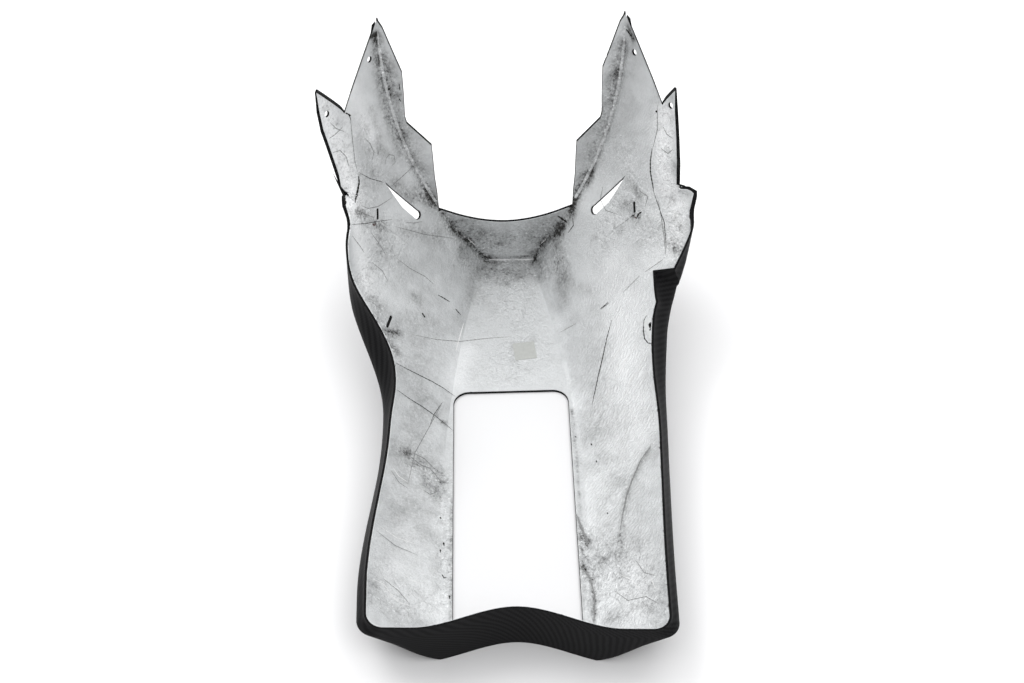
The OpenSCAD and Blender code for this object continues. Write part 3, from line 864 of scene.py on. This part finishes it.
scratchesAndShadowEdge = [
    # left flank
    (0.75, [(393, 361), (406, 368), (420, 375), (432, 381), (444, 388), (455, 396)]),
    (0.7, [(395, 388), (409, 398), (422, 406), (436, 416), (447, 425), (453, 430)]),
    (0.5, [(442, 402), (434, 414), (430, 424)]),
    (0.95, [(438, 294.5), (443.5, 297.5), (450, 301.5)]),
    (1.0, [(455.3, 308.3), (460.5, 314.3)]),
    (1.7, [(422, 312.5), (425, 317)]),
    # right flank
    (0.9, [(612, 319), (607, 337), (602.5, 358), (597.5, 379), (592, 405)]),
    (0.75, [(608, 302), (600.5, 308.5)]),
    # seams at the feet of the tongues
    (2.0, [(358.6, 175.5), (359.1, 182), (357.6, 190.3), (355.2, 200), (355.2, 202)]),
    (1.2, [(652.2, 147.7), (650.4, 160), (650.4, 171), (653.8, 191.6)]),
    (0.6, [(653.8, 191.6), (660, 210), (664.2, 221.6), (666.5, 249)]),
    (1.3, [(343, 111.2), (348, 113.5), (351, 115.5)]),
    (0.5, [(359, 172), (370, 178), (384, 182)]),
    # right end of the front wall
    (2.0, [(558, 215.5), (567.5, 222)]),
    (0.8, [(572.8, 217), (573.4, 225), (568, 232.5)]),
    # nicks in the wings
    (1.8, [(388, 88), (390, 89)]),
    (1.6, [(656, 110), (657, 112)]),
    (0.8, [(399, 83), (400, 90)]),
    (0.9, [(399, 98), (401, 101)]),
    (1.6, [(626.2, 28.8), (628.5, 31.5), (631.4, 36)]),
    (0.35, [(484, 419), (487, 412)]),
    # painted shadow round the edge of the eyelet plate, and the clip by the flank slot
    (1.0, [(646.5, 315), (644, 320), (643.4, 330), (644.5, 338), (648, 342.5), (653, 343.5)]),
    (1.5, [(641.5, 211.5), (639, 213), (637.6, 215.3), (636.5, 218)]),
    # left wing's foot and flank
    (0.7, [(343.5, 111.5), (349, 114.5), (351, 120)]),
    (0.5, [(342, 222), (352, 224), (366, 223), (376, 221), (392, 219)]),
    # specks beside the cut-out
    (1.2, [(440, 516.5), (441, 518.5)]),
    (1.3, [(443.6, 542), (444, 545)]),
    (1.1, [(440.2, 549), (440.4, 552)]),
    (0.9, [(442, 574), (444, 577.5), (446.6, 577)]),
    (1.2, [(449.4, 595), (449.8, 598.5)]),
    (1.0, [(591, 443), (592, 445)]),
    (0.9, [(596, 460), (597, 462)]),
    (1.0, [(575, 436), (576.5, 437)]),
    (1.2, [(585, 568), (586, 570)]),
    (0.9, [(607, 512), (608, 513.5)]),
    (1.9, [(341.5, 187), (343.5, 192.5), (345, 200), (346.3, 208), (348.6, 216), (349.6, 222),
            (349.2, 229)]),  # bare laminate below the left tongue
]
rubsAndCreaseShade = [
    # across the floor and the right flank
    (0.6, [(412, 334), (436, 339), (460, 341), (486, 338), (512, 336)]),
    (0.5, [(663, 259), (645, 271.5)]),
    (0.5, [(640, 275), (623, 292)]),
    (0.7, [(609, 302.5), (602, 308)]),
    (0.5, [(576, 323), (560, 332)]),
    # seams of the tongues
    (0.6, [(350.3, 116.4), (352.5, 140), (354.9, 160.7), (357.6, 171.8)]),
    (0.6, [(657.3, 103.9), (657.3, 129.3), (652.7, 148)]),
    # left wing, flank and tongue
    (0.6, [(391, 186), (400, 178), (412, 167)]),
    (0.6, [(443, 401), (430, 425), (415, 452), (407.5, 485)]),
    (0.6, [(385, 164), (386, 158), (389, 154), (394, 155), (395, 162), (391, 166)]),
    (0.6, [(361, 205), (368, 208), (378, 206), (386, 201), (392, 197)]),
    (0.6, [(357, 210), (366, 214), (374, 217)]),
    (0.6, [(406, 222), (414, 222.5), (422, 221)]),
    (0.6, [(352, 235), (361, 247), (364, 252)]),
    (0.6, [(371, 232), (381, 246), (386, 255)]),
    (0.6, [(397, 258), (410, 268), (425, 276), (434, 284)]),
    (0.6, [(372, 262), (382, 270), (388, 281)]),
    (0.6, [(330, 122), (336, 128), (344, 131)]),
    (0.6, [(329, 138), (335, 134), (343, 126)]),
    (0.6, [(333, 152), (340, 150), (346, 156), (349, 166)]),
    (0.6, [(364, 137), (370, 143), (374, 152), (372, 160)]),
    # right flank and tongue
    (0.6, [(603, 186), (600, 200), (606, 210), (618, 214)]),
    (0.4, [(569, 262), (562, 280)]),
    (0.6, [(639, 190), (648, 196), (645, 206)]),
    (0.6, [(663, 126), (667, 134), (673, 138)]),
    (0.6, [(661, 148), (668, 153), (673, 149)]),
    # soft folds
    (1.3, [(650, 447), (641, 459), (632, 480), (627, 494), (622, 517), (620.3, 530)]),
    (1.6, [(576.5, 514), (582, 528), (588, 545)]),
    (1.2, [(582, 566), (590, 578), (595, 596), (594, 620)]),
    (0.9, [(409, 455), (420, 464), (430, 468), (441, 481)]),
    (0.8, [(412, 452), (424, 458), (436, 470)]),
    (0.8, [(424, 490), (430, 494), (436, 492)]),
    # rear of both flanks, and a line of painted shade along the crease by the front wall
    (0.6, [(391, 470), (399, 482), (408, 488)]),
    (0.6, [(376, 530), (395, 545), (418, 555)]),
    (0.6, [(383, 578), (398, 590), (410, 604)]),
    (0.6, [(395, 226), (410, 230), (425, 234), (440, 236), (455, 238)]),
    (0.6, [(658, 200), (661, 215), (664, 235), (666, 255)]),
    (0.6, [(636, 560), (644, 572), (655, 575)]),
    (0.6, [(614, 590), (628, 600), (646, 596), (660, 604)]),
]
# white ribbons of painted highlight: half width in mm and path in pixels
paintedGlints = [
    # front wall's crease
    (1.5, [(489, 258.8), (500, 259.2), (512, 258.8)]),
    (1.3, [(514, 259.2), (526, 259.4), (534, 258.6)]),
    (0.7, [(468, 238), (475, 244.5)]),
    (0.7, [(541, 243), (546, 238.5)]),
    # floor's left crease
    (1.1, [(463.5, 323), (461.5, 330), (459, 339), (456, 350)]),
    # streaks on the right flank
    (0.6, [(617, 352), (608, 370)]),
    (0.6, [(628, 356), (616, 380)]),
    (0.5, [(636, 371), (620, 402)]),
    (0.5, [(612, 386), (603, 401)]),
    (0.5, [(651, 347), (638.6, 366)]),
    (0.5, [(638.6, 344.6), (619.6, 366)]),
    (0.45, [(630, 337), (611, 359.5)]),
    (0.5, [(647, 359.5), (630, 382.6)]),
    (0.55, [(634.4, 370), (628, 386)]),
    (0.5, [(624, 355), (605, 382.6)]),
    (0.5, [(649, 370), (638.6, 388)]),
    (0.45, [(627, 405.6), (613.3, 426.6)]),
    (0.5, [(636.6, 401), (622.6, 424.3)]),
    (0.5, [(650.6, 410), (629.6, 430)]),
    (0.5, [(632, 384.7), (622.6, 398.7)]),
    # rear of both flanks
    (0.6, [(392, 466), (399, 476), (408, 482)]),
    (0.5, [(376, 523), (396, 537), (420, 545)]),
    (0.5, [(400, 571), (412, 580), (424, 584)]),
    (0.6, [(372, 578), (384, 584), (393, 596)]),
    (0.6, [(385, 590), (399, 602), (411, 606)]),
    (0.6, [(650, 575), (655, 587), (662, 590)]),
    (0.6, [(622, 575), (633, 580), (640, 590)]),
]
rust = [
    (1.0, [(372.6, 223), (374, 225.5), (375.6, 223)]),
    (0.9, [(634.5, 216), (636.5, 218)]),
]
# painted shade in the eyelet plate's hole
plateHoleShade = [
    (1.9, [(649.6, 322.6), (649.9, 326), (650.1, 330)]),
]
# the near-black finish serves real marks and the painted shadow and shade at the eyelet plate; the rubbed
# grey also paints a line of crease shade, and the white glints are painted highlights
sootAndShade = plainFinish("sootyFeltAndShade", "#2a2927", 0.8, 0.8)
strokes("foilScratchesAndShadowEdge", scratchesAndShadowEdge, sootAndShade)
strokes("eyeletShade", plateHoleShade, sootAndShade, plateTree)
strokes("foilRust", rust, plainFinish("rustStain", "#5d4441", 0.8, 0.8))
strokes("foilRubsAndCreaseShade", rubsAndCreaseShade, plainFinish("rubbedFoilAndCreaseShade", "#8f9090", 0.6, 0.8))
strokes("foilPaintedGlints", paintedGlints, plainFinish("paintedHighlightFoil", "#fdfdfd", 0.35, 0.8))


def creaseBead(s):  # the rounded ridge of foil pressed into the fold between a wing and the front wall
    # the bead carries a fixed painted highlight, a little darkening and much crackled wear
    bead = dict(radius=1.6, spread=1.5, sides=9, low=98, high=290, step=3, soilAndShade=0.12, highlight=0.2, wear=0.9)
    n, heights = bead["sides"], range(bead["low"], bead["high"], bead["step"])
    inside = unit(Vector((-s * 0.447, -0.894, 0)))
    across = Vector((0, 0, 1)).cross(inside)
    points, faces = [], []
    for z in heights:
        uneven = 1 + 0.12 * math.sin(z * 0.9) + 0.1 * math.sin(z * 0.37 + s)
        lump = bead["radius"] * uneven * ease((bead["high"] - z) / 60 + 0.35)
        centre = Vector((s * creaseX(z), faceY(z), z)) + inside * (1.12 * (pan["wall"] + pan["foil"]) + 0.2)
        for i in range(n):
            turn = 2 * math.pi * i / n
            offset = across * bead["spread"] * math.cos(turn) + inside * math.sin(turn)
            points.append(centre + offset * lump)
    last = n * (len(heights) - 1)
    for a in range(0, last, n):
        faces += ringFaces(n, a)
    faces += [list(range(n))[::-1], [last + i for i in range(n)]]
    piece = newObject("creaseBead", points, faces, foil, 60)
    for fieldName in ("soilAndShade", "highlight", "wear"):
        layer = piece.data.attributes.new(fieldName, "FLOAT", "POINT")
        layer.data.foreach_set("value", [bead[fieldName]] * len(points))
    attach(piece, "root")


def slotShadeSheet(name, spot, s, length, width, turn):  # a dark sheet behind a slot in the laminate: painted shade for the view through the slot
    shadeSheet = dict(over=0.6, thick=1.8, deep=2.4)  # mm
    turned = Matrix.Rotation(math.radians(turn), 4, "Z")
    place = onSkin(*spot, s) @ turned @ Matrix.Translation((0, 0, -shadeSheet["deep"]))
    piece = prism(oblong(length + shadeSheet["over"], width + shadeSheet["over"]), shadeSheet["thick"], place)
    piece.name = name
    dress(piece, slotShade)
    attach(piece, "root")


def tornTab():  # a strip of the laminate that stands up at the left wing's tip
    tab = dict(foot=(374.6, 35.5), thick=1.0, slant=0.2, proud=0.6,  # the foot in pixels, the others in mm
               corners=[(-0.6, 1.0), (2.6, 0.5), (1.6, -13.0), (-2.4, -12.3)])  # pixels from the foot
    foot, _ = onFoil(*tab["foot"])
    scale = (foot - eye).dot(eyeForward) / view["focal"] * 1000
    lean = unit(eyeUp + eyeForward * tab["slant"])
    front = [foot * 1000 + (eyeRight * x - lean * y) * scale - eyeForward * tab["proud"]
             for x, y in tab["corners"]]
    points = front + [p + eyeForward * tab["thick"] for p in front]
    faces = [[0, 1, 2, 3], [7, 6, 5, 4]] + [f[::-1] for f in ringFaces(4)]
    piece = newObject("tornTab", points, faces, sootAndShade)
    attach(piece, "root")


# near-black for the painted shade behind the slots
slotShade = plainFinish("blackSlotShade", "#0b0b0c", 0.7, 1.5)
creaseBead(-1)
creaseBead(1)
tornTab()
for s in (-1, 1):
    slotShadeSheet("flankSlotShade", flankSlot, s, pan["slotL"], pan["slotW"], pan["slotTurn"])
    slotShadeSheet("sideSlotShade", sideSlots[s], s, pan["sideSlotL"], pan["sideSlotW"], 0)
print("small pieces made")


dress(nodes["label"], filmLabel("polyesterLabelFilm"))
dress(nodes["eyelet_plate"], plateAluminium("brushedAluminiumPlate"))

# Floor, lamps and world
studio = dict(
    paper="#dededf", extra=0.3,  # the extra is seen by the camera only, away from the pan's own openings; where it is left out, in the cut-out and under the rear end, the darker paper is a painted shadow
    besideFrom=0.07, besideTo=0.26, beyondFrom=0.08, beyondTo=0.2,  # m, where the extra sets in
    half=6000, level=-0.3,  # mm, the paper's half width and height
    low=0.42, high=1.12,  # the sky's strength at the horizon and overhead
    target=(0, -0.1, 0))
lamps = dict(  # watts, size and place in m
    keyLamp=(30, 1.4, (-1.4, 1.0, 2.2)),
    sideLamp=(11, 1.4, (1.4, 1.0, 2.2)),
    fillLamp=(14, 1.6, (1.2, -1.6, 2.2)))


def whitePaper(name):
    # matt paper with a fine tooth, whiter to the camera than to the light that it throws back, and darker
    # to the camera down the pan's middle as a painted shadow
    material, tree, place = newMaterial(name)
    grain = addNode(tree, "TexNoise", {"Vector": place, "Scale": 400.0, "Detail": 2.0})
    bump = addNode(tree, "Bump", {"Strength": 0.03, "Distance": 0.0002, "Height": grain})
    matt = addNode(tree, "BsdfDiffuse", {"Color": srgb(studio["paper"]), "Normal": bump})
    path = addNode(tree, "LightPath")
    where = addNode(tree, "SeparateXYZ", {0: place})
    aside = addNode(tree, "Math", {0: where.outputs["X"]}, operation="ABSOLUTE")
    beside = addNode(tree, "MapRange", {"Value": aside, "From Min": studio["besideFrom"],
                                        "From Max": studio["besideTo"]})
    beyond = addNode(tree, "MapRange", {"Value": where.outputs["Y"], "From Min": studio["beyondFrom"],
                                        "From Max": studio["beyondTo"]})
    # where neither mask reaches, in a strip down the pan's middle, the paper misses the extra white: a
    # painted shadow
    clear = addNode(tree, "Math", {0: beside, 1: beyond}, operation="MAXIMUM")
    seen = addNode(tree, "Math", {0: clear, 1: path.outputs["Is Camera Ray"]}, operation="MULTIPLY")
    share = addNode(tree, "Math", {0: seen, 1: studio["extra"]}, operation="MULTIPLY")
    whiter = addNode(tree, "BsdfDiffuse", {"Color": share})
    both = addNode(tree, "AddShader", {0: matt, 1: whiter})
    addNode(tree, "OutputMaterial", {0: both})
    return material


def paperFloor():
    half, level = studio["half"], studio["level"]
    corners = [(-half, -half, level), (half, -half, level), (half, half, level), (-half, half, level)]
    floor = newObject("paperFloor", corners, [[0, 1, 2, 3]], whitePaper("whitePaper"))


def makeSky():  # white to the camera, and dimmer and stronger overhead as a light
    world = bpy.data.worlds.new("studio")
    bpy.context.scene.world = world
    world.use_nodes = True
    sky = world.node_tree
    sky.nodes.clear()
    path = addNode(sky, "LightPath")
    aim = addNode(sky, "SeparateXYZ", {0: addNode(sky, "TexCoord").outputs["Generated"]})
    level = addNode(sky, "MapRange", {"Value": aim.outputs["Z"], "From Min": 0.0, "From Max": 0.9,
                                      "To Min": studio["low"], "To Max": studio["high"]})
    dim = addNode(sky, "Background", {"Color": (1, 1, 1, 1), "Strength": level})
    white = addNode(sky, "Background", {"Color": (1, 1, 1, 1), "Strength": 1.0})
    both = addNode(sky, "MixShader", {0: path.outputs["Is Camera Ray"], 1: dim, 2: white})
    addNode(sky, "OutputWorld", {0: both})


def makeLamps():
    for name, (power, size, at) in lamps.items():
        data = bpy.data.lights.new(name, "AREA")
        data.shape = "SQUARE"
        data.size = size
        data.energy = power
        lamp = bpy.data.objects.new(name, data)
        bpy.context.scene.collection.objects.link(lamp)
        lamp.location = at
        lamp.rotation_mode = "QUATERNION"
        lamp.rotation_quaternion = (Vector(studio["target"]) - Vector(at)).to_track_quat("-Z", "Y")


paperFloor()
makeSky()
makeLamps()
bpy.context.scene.view_settings.view_transform = "Standard"
print("studio made")
